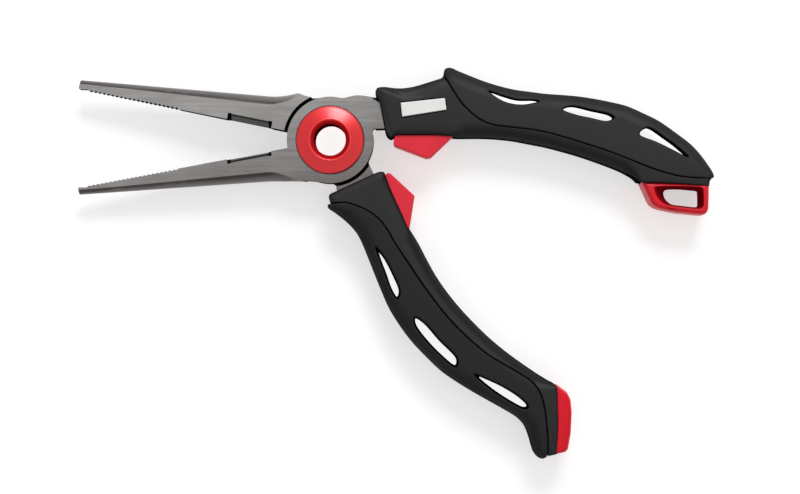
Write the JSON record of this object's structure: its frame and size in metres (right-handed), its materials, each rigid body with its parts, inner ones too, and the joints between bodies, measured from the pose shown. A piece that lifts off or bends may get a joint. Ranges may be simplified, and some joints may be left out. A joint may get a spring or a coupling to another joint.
{
  "type": "fishing pliers",
  "caption": "Long-nose fishing pliers with a lap joint, hollow pivot hub, side cutters, soft-over-hard grips, magnetic opening spring and a lanyard end cap.",
  "frame": {"origin": "on the pivot axis, at the joint's mid-plane", "axes": "+Z along the pivot axis, out of the front face; -X towards the jaws; the tool is at its open stop"},
  "size_m": [0.2027, 0.1246, 0.0159],
  "materials": {
    "steel": "brushed along the jaws",
    "cutter_steel": "hardened, dark",
    "red_anodised": "red anodised, satin",
    "bronze": "turned",
    "washer_steel": "rolled",
    "black_washer": "matte",
    "hard_black": "fine moulded texture",
    "soft_black": "soft matte",
    "red_plastic": "satin",
    "magnet": "nickel plated",
    "cap_red": "satin",
    "badge_white": "satin"
  },
  "bodies": {
    "front_half": {"front_jaw_half": "steel", "front_cutter_blade": "cutter_steel", "hub_sleeve": "red_anodised", "hub_nut": "red_anodised", "pivot_bush": "bronze", "joint_washer": "washer_steel", "front_flange_washer": "black_washer", "rear_flange_washer": "black_washer", "upper_grip_core": "hard_black", "upper_soft_grip": "soft_black", "upper_magnet_housing": "red_plastic", "upper_magnet": "magnet", "lanyard_cap": "cap_red", "badge": "badge_white"},
    "rear_half": {"rear_jaw_half": "steel", "rear_cutter_blade": "cutter_steel", "lower_grip_core": "hard_black", "lower_soft_grip": "soft_black", "lower_magnet_housing": "red_plastic", "lower_magnet": "magnet", "end_cap": "cap_red"}
  },
  "joints": [
    {"name": "pivot", "type": "hinge", "parent": "front_half", "child": "rear_half", "pos_m": [0, 0, 0], "axis": [0, 0, 1], "range_deg": [0, 22], "stiffness_Nm_per_rad": 0.5}
  ]
}
